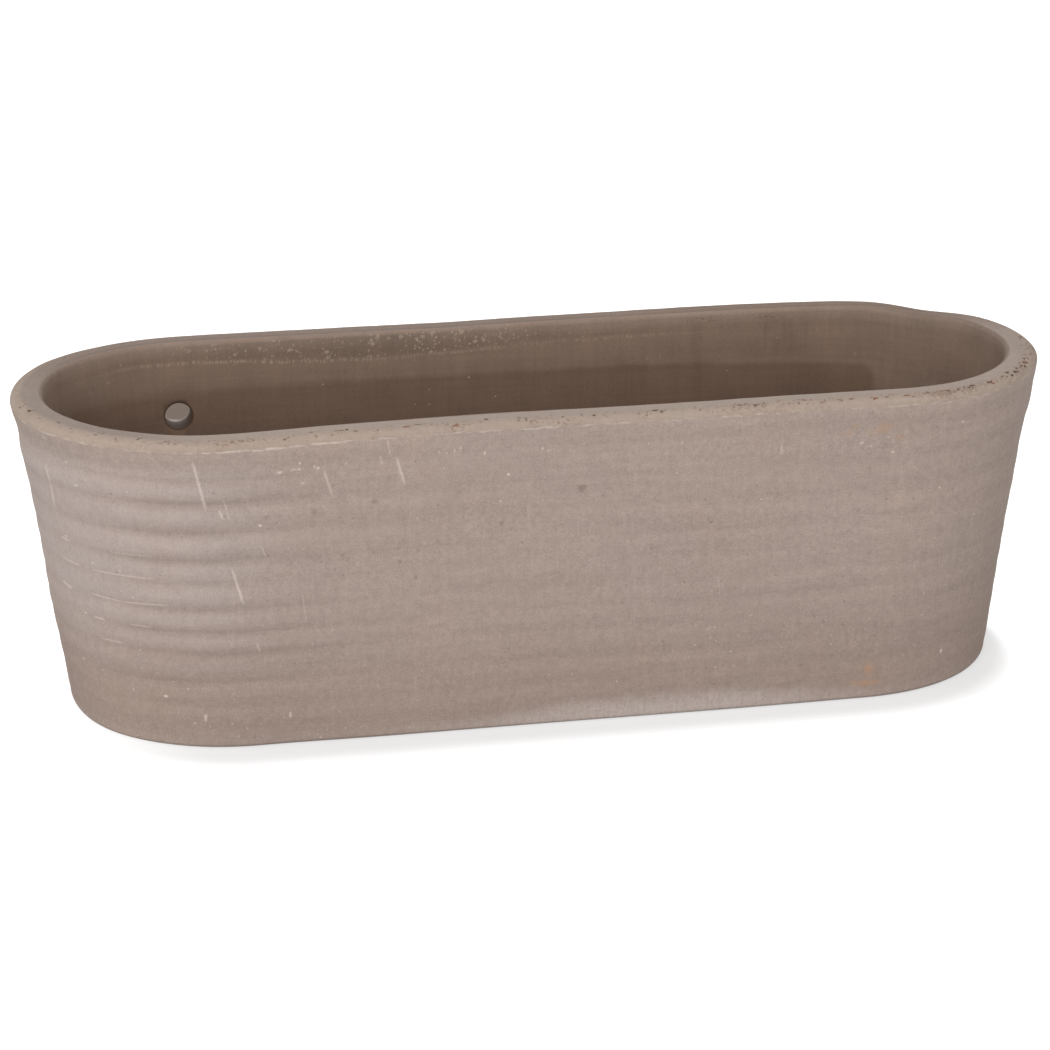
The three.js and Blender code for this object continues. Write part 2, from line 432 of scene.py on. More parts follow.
def clay_points(shape, columns, levels):
    """The points of a stretch of levels, with the marks of the hand and of wear, and for each
    point three numbers for the shader: its pit, its groove and how far it rose."""
    offset, height, groove = levels.T
    half_length, half_width = wall_outline(shape, height)
    radius = np.maximum(half_width + offset, 0)[:, None]
    centre = (half_length - half_width)[:, None]
    flat = np.broadcast_to(height[:, None], (len(levels), len(columns)))
    still = np.stack([*round_the_wall(columns, centre, radius), flat], axis=-1)

    out, up = leaning(shape, columns, height)
    out *= np.clip(radius / (shape.base_width / 2 - shape.wall_thickness), 0, 1)
    grooves = groove_depths(shape, columns, still) * groove[:, None]
    pits = pit_depths(shape, columns, levels)
    off_ground = np.clip((height - shape.foot_round) / shape.foot_line, 0, 1)
    on_wall = (off_ground * (offset > -2 * shape.wall_thickness))[:, None]
    lumps = (0.32 * clay_noise(still, 0.055, 1) + 0.1 * clay_noise(still, 0.012, 2)) * MM
    change = lumps * on_wall - grooves - pits

    near_rim = (height[:, None] / shape.height) ** 3
    rim_wave = 0.25 * MM * clay_noise(still * (1, 1, 0), 0.07, 4) * near_rim
    field = shape.height - shape.top_band - shape.foot_line
    middle = np.clip(1 - (2 * (height - shape.foot_line) / field - 1) ** 2, 0, 1)
    outside = offset > -shape.wall_thickness / 2
    ring_wave = 1.1 * MM * clay_noise(still * (1, 1, 2), 0.06, 5) * (middle * outside)[:, None]

    outwards, upwards = facing(levels).T
    radius = radius + out + change * outwards[:, None]
    lifted = height[:, None] + up + rim_wave + ring_wave + change * upwards[:, None]
    x, y = round_the_wall(columns, centre, radius)
    points = np.stack([x, y, np.maximum(lifted, 0)], axis=-1)
    return points, np.stack([pits / MM, grooves / shape.ring_depth, (up + rim_wave) / MM], axis=-1)


def fitted(points, shape):
    """The points stretched by a hair, so that they fill the planter's overall size exactly."""
    low, high = points.min(axis=0), points.max(axis=0)
    size = np.array([shape.rim_length, shape.rim_width, shape.height])
    return (points - low) / (high - low) * size - size * (0.5, 0.5, 0)


def quads(first, levels, count):
    """Faces between levels of points that each go once round."""
    level, column = np.meshgrid(np.arange(levels - 1), np.arange(count), indexing="ij")
    beside = (column + 1) % count
    low, high = first + level * count, first + (level + 1) * count
    return np.stack([low + column, low + beside, high + beside, high + column], -1).reshape(-1, 4)


def fan_between(coarse, fine, count, fineness, fine_above):
    """Faces between a coarse level of points and one with several points for each of its."""
    faces = []
    for column in range(count):
        near, far = coarse + column, coarse + (column + 1) % count
        steps = [fine + (column * fineness + i) % (count * fineness) for i in range(fineness + 1)]
        half = (fineness + 1) // 2
        fan = [(near, steps[i + 1], steps[i]) for i in range(half)]
        fan.append((near, far, steps[half]))
        fan += [(far, steps[i + 1], steps[i]) for i in range(half, fineness)]
        faces += fan if fine_above else [face[::-1] for face in fan]
    return faces


def trough_mesh(shape):
    """The whole skin of the trough before its holes are cut."""
    walls = around(shape.straight_steps, shape.round_steps)
    fine = shape.rim_fineness
    rims = around(shape.straight_steps * fine, shape.round_steps * fine)
    outer = np.concatenate([foot_levels(shape), ring_levels(shape)])
    stretches = [(walls, outer), (rims, rim_levels(shape)), (walls, cavity_levels(shape))]

    made, faces, starts = [], [], []
    first = 0
    for columns, levels in stretches:
        points, marks = clay_points(shape, columns, levels)
        made.append(np.concatenate([points, marks], axis=-1).reshape(-1, 6))
        faces += quads(first, len(levels), len(columns)).tolist()
        starts.append((first, first + (len(levels) - 1) * len(columns)))
        first += len(made[-1])
    count = len(walls)
    faces += fan_between(starts[0][1], starts[1][0], count, fine, True)
    faces += fan_between(starts[2][0], starts[1][1], count, fine, False)

    made = np.concatenate(made)
    mesh = bpy.data.meshes.new("planter_clay")
    mesh.from_pydata(fitted(made[:, :3], shape).tolist(), [], faces)
    for name, values in zip(("pit", "groove", "rise"), made[:, 3:].T):
        attribute = mesh.attributes.new(name, "FLOAT", "POINT")
        attribute.data.foreach_set("value", np.ascontiguousarray(values, np.float32))
    # The last points of the floor and of the underside meet on the centre line.
    work = bmesh.new()
    work.from_mesh(mesh)
    close_skin(work, mesh, 0.02 * MM)
    return mesh


def close_skin(work, mesh, distance):
    """Joins the points that meet, turns the faces outwards and writes them to the mesh."""
    bmesh.ops.remove_doubles(work, verts=work.verts, dist=distance)
    bmesh.ops.recalc_face_normals(work, faces=work.faces)
    open_edges = sum(not edge.is_manifold for edge in work.edges)
    work.to_mesh(mesh)
    work.free()
    if open_edges:
        raise RuntimeError(f"{mesh.name} has {open_edges} open edges")


def add_object(name, data):
    made = bpy.data.objects.new(name, data)
    bpy.context.scene.collection.objects.link(made)
    return made


def turned(thing, place, turn):
    """The object moved to a place and turned there."""
    thing.location = place
    thing.rotation_mode = "QUATERNION"
    thing.rotation_quaternion = turn
    return thing


def hole_cutter(shape, diameter, length, middle, way):
    """A round cutter with flared ends, which leave the hole a soft edge at both faces."""
    soft = shape.hole_round
    half = length / 2
    turn = np.linspace(0, math.pi / 2, 6)
    radius = diameter / 2 + soft * (1 - np.sin(turn))
    along = half - soft * (1 - np.cos(turn))
    end = half + CUT_MARGIN
    outline = [(0, end), (radius[0] * 1.02, end), *zip(radius, along)]
    outline += [(r, -a) for r, a in reversed(outline)]
    work = bmesh.new()
    corners = [work.verts.new((r, 0, a)) for r, a in outline]
    edges = [work.edges.new(pair) for pair in zip(corners, corners[1:])]
    bmesh.ops.spin(
        work, geom=corners + edges, cent=(0, 0, 0), axis=(0, 0, 1), angle=2 * math.pi,
        steps=HOLE_STEPS, use_merge=True,
    )
    mesh = bpy.data.meshes.new("hole_cutter")
    close_skin(work, mesh, 0.001 * MM)
    return turned(add_object("hole_cutter", mesh), middle, Vector(way).to_track_quat("Z", "Y"))


def cut_holes(trough, shape):
    """Cuts the hole in the back wall and the drain holes in the floor."""
    wall, floor = shape.wall_thickness, shape.floor_thickness
    height = shape.height - shape.wall_hole_below_rim
    _, half_width = wall_outline(shape, height)
    in_wall = (shape.wall_hole_from_end - shape.rim_length / 2, half_width - wall / 2, height)
    holes = [(shape.wall_hole, wall, in_wall, (0, 1, 0))]
    for side in (-1, 1):
        in_floor = (side * shape.drain_spacing / 2, 0, floor / 2)
        holes.append((shape.drain_hole, floor, in_floor, (0, 0, 1)))
    cutters = [hole_cutter(shape, *hole) for hole in holes]
    for cutter in cutters:
        cut = trough.modifiers.new("hole", "BOOLEAN")
        cut.operation = "DIFFERENCE"
        cut.solver = "EXACT"
        cut.object = cutter
    bpy.context.view_layer.update()
    evaluated = trough.evaluated_get(bpy.context.evaluated_depsgraph_get())
    cut_mesh = bpy.data.meshes.new_from_object(evaluated)
    trough.modifiers.clear()
    trough.data = cut_mesh
    for cutter in cutters:
        bpy.data.objects.remove(cutter)


# ---- Shader maths ----


def operators(operation):
    """A Math operation as an operator on wires, and its reflected form."""
    return (
        lambda wire, other: wire.tree.maths(operation, wire, other),
        lambda wire, other: wire.tree.maths(operation, other, wire),
    )


class Wire:
    """A socket that stands in Python expressions. Each operation adds its Math node."""

    __add__, __radd__ = operators("ADD")
    __sub__, __rsub__ = operators("SUBTRACT")
    __mul__, __rmul__ = operators("MULTIPLY")
    __truediv__, __rtruediv__ = operators("DIVIDE")
    __or__, __ror__ = operators("MAXIMUM")

    def __init__(self, tree, socket):
        self.tree = tree
        self.socket = socket

    def __abs__(self):
        return self.tree.maths("ABSOLUTE", self)

    def output(self, name):
        """Another output of the same node."""
        return Wire(self.tree, self.socket.node.outputs[name])

    def fade(self, start, end):
        """0 up to start and 1 from end on, with a smooth change between them."""
        values = {"Value": self, "From Min": start, "From Max": end}
        return self.tree.node("MapRange", values, interpolation_type="SMOOTHSTEP")

    def near(self, middle, reach):
        """1 at the middle, and 0 from that far away on either side."""
        return abs(self - middle).fade(reach, 0)

    def spread(self, amount):
        """Noise that lies about 0.5 made to lie about 0, and spread by that amount."""
        return (self - 0.5) * amount


class ShaderTree:
    """The nodes of one material or of the world."""

    def __init__(self, owner):
        owner.use_nodes = True
        self.nodes = owner.node_tree.nodes
        self.links = owner.node_tree.links
        self.nodes.clear()

    def node(self, kind, inputs=None, output=0, **settings):
        """Adds a node, with its settings first and then its inputs, and gives one output."""
        made = self.nodes.new("ShaderNode" + kind)
        for name, value in settings.items():
            setattr(made, name, value)
        for name, value in (inputs or {}).items():
            if isinstance(value, Wire):
                self.links.new(value.socket, made.inputs[name])
            else:
                made.inputs[name].default_value = value
        return Wire(self, made.outputs[output]) if len(made.outputs) else None

    def maths(self, operation, *values):
        return self.node("Math", dict(enumerate(values)), operation=operation)

    def vector(self, operation, *values):
        return self.node("VectorMath", dict(enumerate(values)), operation=operation)

    def mark(self, name):
        """A number that the mesh holds for each of its points."""
        return self.node("Attribute", None, "Fac", attribute_name=name)

    def scaled(self, vector, factor):
        """A vector or colour times a number."""
        if not isinstance(vector, Wire):
            vector = tuple(vector)[:3]
        return self.node("VectorMath", {0: vector, "Scale": factor}, operation="SCALE")

    def mix(self, mask, first, second):
        """The first colour where the mask is 0, and the second where it is 1."""
        return self.node("Mix", {0: mask, 6: first, 7: second}, 2, data_type="RGBA")

    def clouds(self, place, size, detail, rough=0.5):
        """Noise about 0.5, with lumps about as large as size."""
        inputs = {"Vector": place, "Scale": 1 / size, "Detail": detail, "Roughness": rough}
        return self.node("TexNoise", inputs)

    def ragged(self, place, amount):
        """The place shaken by fine noise, for marks with ragged edges."""
        shake = self.node("TexNoise", {"Vector": place, "Scale": 0.9, "Detail": 2.0}, "Color")
        offset = self.vector("SUBTRACT", shake, (0.5, 0.5, 0.5))
        return self.vector("ADD", place, self.scaled(offset, amount))

    def specks(self, place, spacing, radius, share):
        """1 in specks, one for each cell of the spacing, in that share of the cells."""
        cells = self.node("TexVoronoi", {"Vector": place, "Scale": 1 / spacing})
        lot = self.node("SeparateColor", {0: cells.output("Color")})
        chosen = self.maths("LESS_THAN", lot, share)
        size = radius / spacing * (0.5 + lot.output("Green"))
        return chosen * (1 - (cells / size).fade(0.6, 1.15))


# ---- The finish of the clay ----

# Pale scratches and knocks on the front, in millimetres, from one end to the other.
SCRATCHES = (
    # x, z, x, z, half width, strength
    (-157, 129.4, -152.1, 108, 0.57, 0.51), (-145, 112.4, -142.5, 102.8, 0.41, 0.25),
    (-146.7, 107.4, -145.2, 103.6, 0.51, 0.41), (-142.1, 81.5, -137.7, 65.3, 0.54, 0.49),
    (-113.2, 68.1, -111.6, 54.6, 0.3, 0.18), (-103.3, 122, -99.8, 109.8, 0.49, 0.34),
    (-73, 125.1, -69.8, 113.2, 0.57, 0.45), (-80.1, 126.5, -78.9, 122.5, 0.35, 0.29),
    (-76.7, 133.2, -75.9, 126.6, 0.32, 0.33), (-17.9, 101.5, -17.6, 93, 0.27, 0.2),
    (-129.5, 89.8, -128, 85.7, 0.38, 0.29), (3.7, 95.4, 3.8, 83.8, 0.27, 0.16),
    (90.7, 119.6, 90.4, 115.6, 0.46, 0.29), (-213.5, 118.3, -212, 110.5, 0.35, 0.4),
    (-212, 110.5, -210.5, 98.8, 0.35, 0.36), (-208.3, 64.4, -205, 63.4, 0.6, 0.55),
    (-208.3, 76.6, -202.1, 76, 0.35, 0.45), (-197.2, 76.2, -173.7, 76.5, 0.33, 0.4),
    (-197.8, 64.6, -186.4, 64.1, 0.33, 0.42), (-186.4, 64.1, -168.3, 65, 0.33, 0.4),
    (-197.2, 53.8, -193.2, 54, 0.5, 0.45), (-183.4, 54.2, -175.3, 54.3, 0.3, 0.36),
    (-194.8, 44.8, -186.3, 44.9, 0.4, 0.36), (-208.5, 86.2, -205.3, 86.1, 0.5, 0.4),
    (-189.1, 86.2, -174.4, 86.6, 0.28, 0.2), (-132.6, 47.3, -131.2, 43.2, 0.35, 0.29),
    (-154.4, 16, -154.5, 12.6, 0.57, 0.49), (-119.1, 15, -119.1, 12.4, 0.54, 0.49),
    (162.3, 129.5, 162.8, 120.8, 0.27, 0.16), (64.4, 62.9, 65.5, 51.4, 0.22, 0.16),
)

# White specks on the front, in millimetres.
WHITE_SPECKS = (
    # x, z, half width, half height, strength
    (-121.4, 122.1, 1.7, 0.8, 0.6), (-119.7, 119.9, 0.6, 0.5, 0.3),
    (-113.3, 125.5, 0.8, 0.8, 0.6), (-115.2, 122.9, 2.4, 0.6, 0.3),
    (-113.6, 122.9, 0.8, 0.7, 0.6), (-107.2, 123.4, 0.5, 0.9, 0.7),
    (-105.8, 122.7, 0.7, 0.7, 0.7), (-112, 116.8, 0.8, 0.6, 0.4), (-94.1, 123.9, 0.5, 1, 0.3),
    (-55.1, 126.1, 0.4, 1, 0.4), (-52, 125.4, 0.4, 0.8, 0.6), (-48.8, 126.1, 0.4, 1.3, 0.4),
    (-46.3, 127.2, 0.4, 1, 0.4), (-36.3, 124.4, 0.6, 0.9, 0.6), (-11.8, 124.8, 0.6, 0.8, 0.6),
    (-9.3, 123.8, 0.4, 0.6, 0.5), (-26.2, 114.4, 0.7, 0.7, 0.8), (-130, 99.5, 0.8, 0.8, 0.8),
    (-29.5, 102.9, 0.5, 0.6, 0.5), (33.2, 124, 0.5, 0.8, 0.4), (47.4, 123.5, 0.4, 0.7, 0.4),
    (45.5, 110.3, 0.4, 0.6, 0.4), (82.3, 96, 0.6, 0.5, 0.6), (-170.2, 23.2, 0.8, 0.8, 0.8),
    (-202.4, 113.5, 0.8, 0.6, 0.7), (-205.8, 123.1, 0.6, 0.6, 0.5), (-183, 114.6, 0.6, 0.6, 0.4),
    (-206.7, 87.9, 0.5, 0.8, 0.6), (-197.2, 79.2, 0.4, 0.8, 0.5), (-186.8, 78.2, 0.4, 0.9, 0.4),
    (-182.1, 66.8, 0.4, 0.9, 0.4), (-200.3, 54.4, 0.7, 0.6, 0.6), (-201.7, 30.9, 0.6, 0.8, 0.4),
    (171.5, 123.1, 0.7, 0.6, 0.7), (181.4, 77.8, 0.5, 0.6, 0.4), (162, 94.5, 0.5, 0.5, 0.7),
    (137.1, 120.1, 0.6, 0.6, 0.5), (125.7, 118.1, 1.4, 0.7, 0.4), (129.7, 116.5, 1.3, 0.6, 0.4),
    (139.6, 113.2, 1.3, 0.6, 0.5), (168, 16.5, 0.9, 0.9, 0.7),
)

# Orange stains on the front, in the same terms.
RUST_STAINS = (
    (122.8, 125.9, 2.8, 1.3, 0.25), (119.4, 123, 2.8, 1.2, 0.25), (130.8, 123.2, 2.6, 2, 0.25),
    (136, 125, 3.8, 2.4, 0.35), (134, 122.6, 4.6, 1.2, 0.25), (142.4, 119.3, 2.8, 1.2, 0.3),
    (132.5, 14, 2, 2.6, 0.55), (132.6, 14, 4.4, 4.8, 0.18), (132.6, 7.6, 6.5, 1.6, 0.5),
    (126, 8.2, 3.4, 1, 0.3),
)

# Dark spots of iron in the clay, in the same terms.
IRON_SPOTS = (
    (4.9, 106, 2.4, 2.2, 0.45), (-29, 93, 1.3, 1.2, 0.4), (61, 87, 1, 0.9, 0.4),
    (-96, 84, 1.2, 1, 0.3), (-82.2, 106.4, 1.4, 1.2, 0.4), (-127.3, 103.1, 1.2, 1, 0.3),
    (-107.3, 103.8, 1.2, 1.2, 0.3), (-72.5, 79.3, 1.3, 1, 0.35), (-65.5, 71.5, 1, 1.2, 0.35),
)


class ClayPlace:
    """Where on the trough a shaded point lies, in millimetres."""

    def __init__(self, tree, shape):
        self.tree = tree
        self.spot = tree.scaled(tree.node("TexCoord", None, "Object"), 1 / MM)
        self.flat = tree.vector("MULTIPLY", self.spot, (1, 0, 1))
        self.x = tree.node("SeparateXYZ", {0: self.spot})
        self.y = self.x.output("Y")
        self.z = self.x.output("Z")
        self.level = self.z - tree.mark("rise")
        self.below_rim = shape.height / MM - self.level
        self.inset = self.inset_of(shape)
        self.front = self.y.fade(0.0, -12.0)
        self.outside = 1 - self.inset.fade(2.0, 4.0)
        # On the rim only its inner edge is inside. Lower down, all past the middle of the wall is.
        past_middle = self.inset.fade(5.5, 7.5) * self.below_rim.fade(2.8, 4.6)
        self.inside = self.inset.fade(11.2, 12.6) | past_middle

    def inset_of(self, shape):
        """How far in from the outer wall's outline the point is."""
        rise = self.z / ((shape.height - shape.bevel_drop) / MM)
        lean = rise + shape.wall_flare * (rise * rise - rise)

        def between(base, rim):
            return (base / 2 + (rim / 2 - shape.lip_reach - base / 2) * lean) / MM

        half_length = between(shape.base_length, shape.rim_length)
        half_width = between(shape.base_width, shape.rim_width)
        past = (abs(self.x) - (half_length - half_width)) | 0.0
        reach = self.tree.maths("SQRT", past * past + self.y * self.y)
        return half_width - reach

    def clouds(self, size, detail, rough=0.5):
        """Noise over the clay, with lumps about as large as size."""
        return self.tree.clouds(self.spot, size, detail, rough)

    def streaks(self, across, up, detail, rough=0.5):
        """Noise over the clay, with lumps of one size across and another upwards."""
        stretched = self.tree.vector("DIVIDE", self.spot, (across, across, up))
        return self.tree.clouds(stretched, 1, detail, rough)


def patches(tree, place, rows, rough):
    """How strongly a point lies in any of the ragged patches listed in rows."""
    mask = None
    for x, z, half_width, half_height, strength in rows:
        shrunk = tree.vector("MULTIPLY", place, (1 / half_width, 0, 1 / half_height))
        middle = (x / half_width, 0, z / half_height)
        apart = tree.vector("DISTANCE", shrunk, middle).output("Value")
        patch = (apart + rough).fade(1.2, 0.3) * strength
        mask = patch if mask is None else mask | patch
    return mask


def scratches(tree, place):
    """How pale the scratches and white specks make the front, from 0 to 1."""
    rough = place.clouds(1.2, 1).spread(1.6)
    pale = patches(tree, place.spot, WHITE_SPECKS, rough)
    for x, z, end_x, end_z, half_width, strength in SCRATCHES:
        run = Vector((end_x - x, 0, end_z - z))
        from_start = tree.vector("SUBTRACT", place.flat, (x, 0, z))
        share = tree.vector("DOT_PRODUCT", from_start, run / run.length_squared).output("Value")
        on_run = tree.scaled(tuple(run), tree.node("Clamp", {0: share}))
        apart = tree.vector("DISTANCE", from_start, on_run).output("Value") / half_width
        ends = abs(share - 0.5).fade(0.62, 0.3)
        pale = pale | (apart + rough).fade(1.6, 0.2) * ends * strength
    return pale * place.front * place.outside


def outside_colour(tree, place, clay):
    """The outside: fired patches, grains and pores, throwing lines and upright streaks. Painted
    shade darkens the grooves and the lower wall, and painted light makes the left end paler.
    """
    x, z = place.x, place.z
    greyer = place.clouds(70, 3).fade(0.4, 0.64)
    warmer = place.clouds(38, 2).fade(0.5, 0.75)
    colour = tree.mix(greyer * 0.55, clay.clay, clay.grey_clay)
    colour = tree.mix(warmer * 0.4, colour, clay.warm_clay)
    # Painted shade: the wall darker and browner towards the bottom.
    colour = tree.mix(z.fade(72, 8) * 0.62, colour, clay.shaded_low_clay)

    throwing = place.streaks(26, 2.4, 4, 0.6)
    bands = place.streaks(90, 8, 3)
    wiping = place.streaks(1.6, 15, 3)
    mottle = place.clouds(3.2, 4, 0.65)
    grain = place.clouds(0.8, 2, 0.7)
    shade = 1 + throwing.spread(0.15) + wiping.spread(0.13) + mottle.spread(0.34)
    shade = shade + grain.spread(0.45) + bands.spread(0.22)
    # Painted shade in the throwing grooves: darker and browner there.
    groove = tree.mark("groove")
    shade = shade - tree.maths("POWER", groove, 1.5) * 0.09
    groove_shade_tint = tree.maths("POWER", groove, 2.0) * 0.4
    colour = tree.scaled(tree.mix(groove_shade_tint, colour, clay.shaded_low_clay), shade)

    # A pale bluish bloom at both ends, fainter at the right end. At the left end it is also
    # painted light, paler at mid-height and fading towards the bottom.
    wispy = 0.6 + place.streaks(14, 30, 3) * 0.8
    left = x.fade(-110, -160) * 0.18 + x.fade(-195, -215) * 0.03
    left = left * z.fade(20, 70) * z.fade(133, 114)
    bloom_and_light = left + x.fade(196, 218) * 0.1
    colour = tree.mix(bloom_and_light * wispy * (1 - groove * 0.7), colour, clay.bloom_and_light)

    spot = tree.ragged(place.spot, 1.4)
    dark = tree.specks(spot, 4.4, 0.42, 0.5)
    colour = tree.mix(dark * 0.34, colour, clay.dark_grain)
    low = z.fade(75, 5)
    pale = tree.specks(spot, 6.5, 0.36, 0.4) * 0.4
    dust = tree.specks(spot, 3.0, 0.3, 0.55) * (0.2 + low * 0.4)
    strokes = place.streaks(0.6, 7, 2).fade(0.62, 0.8) * 0.16
    colour = tree.mix(pale | dust | strokes, colour, clay.lime)
    return tree.mix(scratches(tree, place), colour, clay.scuff)


def stains(tree, place, clay, colour):
    """Orange patches under the rim, a rusty drip over the foot and dark iron spots."""
    rough = place.clouds(2.2, 3, 0.6).spread(2.4)
    on_front = place.front * place.outside
    rust = patches(tree, place.spot, RUST_STAINS, rough)
    iron = patches(tree, place.spot, IRON_SPOTS, rough)
    colour = tree.mix(rust * on_front, colour, clay.rust)
    return tree.mix(iron * on_front, colour, clay.dark_grain)


def foot_lime(tree, place, clay, colour):
    """Lime drawn up into the foot by damp, thickest right of the middle."""
    cloud = place.clouds(11, 4, 0.65)
    fine = place.clouds(1.3, 3, 0.65)
    upright = place.streaks(1.2, 12, 2)
    near_middle = abs(place.x - 40).fade(120, 15) * place.front
    height = 4 + near_middle * 5 + cloud.spread(8)
    thick = (place.z - height).fade(4, -5) * (0.1 + fine + upright.spread(0.6))
    return tree.mix(thick * (0.16 + near_middle * 0.5) * place.outside, colour, clay.lime)


def rim_colour(tree, place, clay, colour):
    """The rim: a greyer flat top, a browner bevel with dark and rusty flecks, both darker along
    the back, and a pale worn edge."""
    x, inset = place.x, place.inset
    mottle = place.clouds(2.6, 4, 0.7)
    cloudy = place.clouds(14, 3)
    streaks = place.streaks(9, 1.5, 3)
    on_flat = inset.fade(3.2, 6.0)
    weathered = tree.mix(on_flat * 0.8 + (cloudy - 0.5), clay.rim_clay, clay.rim_flat)
    back = 1 - place.y.fade(55, 5)
    weathered = tree.mix(back * 0.8, weathered, clay.inside_top)
    weathered = tree.mix(back * x.fade(-40, 120) * 0.9, weathered, clay.inside)
    darker = x.fade(-150, -180) * 0.2 + x.fade(206, 216) * 0.1
    dull = back * x.fade(60, 10) * (0.09 + on_flat * 0.08)
    shaded = (on_flat * darker) | dull
    shaded = shaded + back * inset.fade(7.5, 10) * 0.12
    weathered = tree.scaled(weathered, 0.76 + mottle * 0.34 + streaks * 0.14 - shaded)
    on_rim = place.level.fade(133.2, 134.6) * (1 - place.inside)
    colour = tree.mix(on_rim * 0.9, colour, weathered)

    spot = tree.ragged(place.spot, 1.6)
    fleck_noise = place.clouds(1.4, 3, 0.7)
    cluster = place.clouds(16, 2) + x.fade(60, 150) * 0.08
    bevel = inset.near(2.2, 4.2) * on_rim
    flecks = (fleck_noise + cluster.spread(0.5)).fade(0.58, 0.68) * bevel * 0.5
    dots = tree.specks(spot, 2.6, 0.5, 0.4) * cluster.fade(0.48, 0.62) * bevel * 0.7
    colour = tree.mix(flecks | dots, colour, tree.mix(cloudy, clay.soil, clay.red_soil))

    bright = x.near(-122, 60) * place.front
    broken = (place.streaks(6, 1.2, 4, 0.7) + bright * 0.08).fade(0.46, 0.64)
    ragged = place.clouds(4, 3).spread(1.4)
    edge = abs(place.level - 134.0 + ragged).fade(0.75, 0.15) * place.outside
    strength = 0.3 + place.front * 0.3 + bright * 0.3
    return tree.mix(edge * broken * strength, colour, clay.worn_edge)


def inside_colour(tree, place, clay):
    """The inside: brown, with a tide mark under cream crusts. Shade is painted on it: darker
    deeper down, a shadow of the near rim over the lower part, and darker towards the right end.
    """
    depth, x = place.below_rim, place.x
    blotch = place.clouds(16, 3)
    streak = place.streaks(2.6, 40, 2)
    lines = place.streaks(40, 1.6, 3)
    grain = place.clouds(0.9, 2, 0.7)
    shade = 1 + blotch.spread(0.3) + streak.spread(0.18)
    shade = shade + lines.spread(0.18) + grain.spread(0.4)

    # A painted shadow of the near rim darkens the lower part, up to a soft edge that stops short
    # of the right end.
    edge = 22.5 + x.fade(30, 172) * 5 + blotch.spread(2)
    past = (x - 165.5) | 0.0
    above = (edge + 6 - depth) | 0.0
    corner = tree.maths("SQRT", past * past + above * above)
    soft = 1.6 + x.fade(0, -180) * 2.5
    inside_shadow = ((corner - 6) / soft).fade(1, -1)
    # Painted shade: darker deeper down, lighter just under the rim.
    colour = tree.mix(depth.fade(10, 22) * 0.3, clay.inside, clay.inside_shadow)
    colour = tree.mix(depth.fade(8, 1.5) * 0.75, colour, clay.inside_top)
    colour = tree.mix(inside_shadow * 0.8, colour, clay.inside_shadow)
    # Painted shade: the inside darker towards the right end.
    shade = shade - x.fade(150, 195) * 0.15

    # The tide mark is a row of upright dashes, with crusts over it left of the middle.
    tide = 9.6 + x.near(-60, 95) * 3.4 + blotch.spread(3)
    dashes = place.streaks(0.6, 5, 2).fade(0.44, 0.62)
    length = x.fade(-185, -160) * x.fade(120, 60)
    mark = depth.near(tide, 1.3) * dashes * length * (0.24 + x.near(-110, 80) * 0.25)
    crusted = x.near(-62, 130)
    band = crusted * (depth - tide).fade(0.5, -2.5) * depth.fade(1.0, 2.6)
    shade = shade - band * 0.16
    spot = tree.ragged(place.spot, 2.0)
    crusts = tree.specks(spot, 1.9, 0.55, 0.6) | tree.specks(spot, 3.4, 0.9, 0.4)
    crusts = crusts * (band + blotch.spread(0.5)).fade(0.1, 0.5)
    spots = tree.specks(spot, 6, 0.45, 0.35) * 0.4

    # Darker runs, with black flecks at their heads, right of the middle of the back wall.
    runs = place.streaks(9, 50, 3).fade(0.4, 0.66)
    runs = runs * x.near(114, 52) * depth.fade(3, 8) * depth.fade(27, 18)
    shade = shade - runs * 0.2
    fleck_noise = place.streaks(2.2, 1, 3, 0.7)
    flecks = fleck_noise.fade(0.5, 0.6) * depth.near(3.8, 2.4)
    flecks = flecks * (x.near(92, 12) | x.near(122, 9))
    colour = tree.scaled(colour, shade)
    colour = tree.mix(mark | crusts * 0.5 | spots, colour, clay.crust)
    return tree.mix(flecks * 0.65 * (1 - place.front), colour, clay.soil)


def hole_bore_shade(tree, place, clay, shape, colour):
    """Painted shade darkens the bore of the hole through the back wall, in the soil's colour."""
    x = shape.wall_hole_from_end - shape.rim_length / 2
    centre = Vector((x, 0, shape.height - shape.wall_hole_below_rim)) / MM
    apart = tree.vector("DISTANCE", place.flat, tuple(centre)).output("Value")
    radius = shape.wall_hole / 2 / MM
    in_bore = apart.fade(radius + 1, radius + 0.2) * place.inset.fade(1, 4)
    # Painted shade in the bore, in the soil's colour.
    return tree.mix(in_bore * place.y.fade(0, 10) * 0.85, colour, clay.soil)


def clay_material(shape, clay):
    """Unglazed fired clay, long used out of doors."""
    material = bpy.data.materials.new("fired_clay_worn")
    tree = ShaderTree(material)
    place = ClayPlace(tree, shape)
    colour = outside_colour(tree, place, clay)
    colour = stains(tree, place, clay, colour)
    colour = foot_lime(tree, place, clay, colour)
    colour = rim_colour(tree, place, clay, colour)
    colour = tree.mix(place.inside, colour, inside_colour(tree, place, clay))
    colour = hole_bore_shade(tree, place, clay, shape, colour)
    pit = tree.mark("pit")
    soil = tree.mix(place.clouds(7, 2).fade(0.45, 0.6), clay.soil, clay.red_soil)
    colour = tree.mix(pit.fade(0.06, 0.3) * 0.9, colour, soil)

    grain = place.clouds(0.7, 3, 0.7)
    lines = place.streaks(40, 0.9, 2)
    relief = grain * 0.16 + lines * 0.1
    bump = tree.node("Bump", {"Strength": 0.6, "Distance": MM, "Height": relief})
    roughness = 0.86 + grain * 0.12
    finish = {"Base Color": colour, "Roughness": roughness, "Specular IOR Level": 0.25}
    skin = tree.node("BsdfPrincipled", {**finish, "Normal": bump})
    tree.node("OutputMaterial", {"Surface": skin})
    return material


# ---- The studio ----

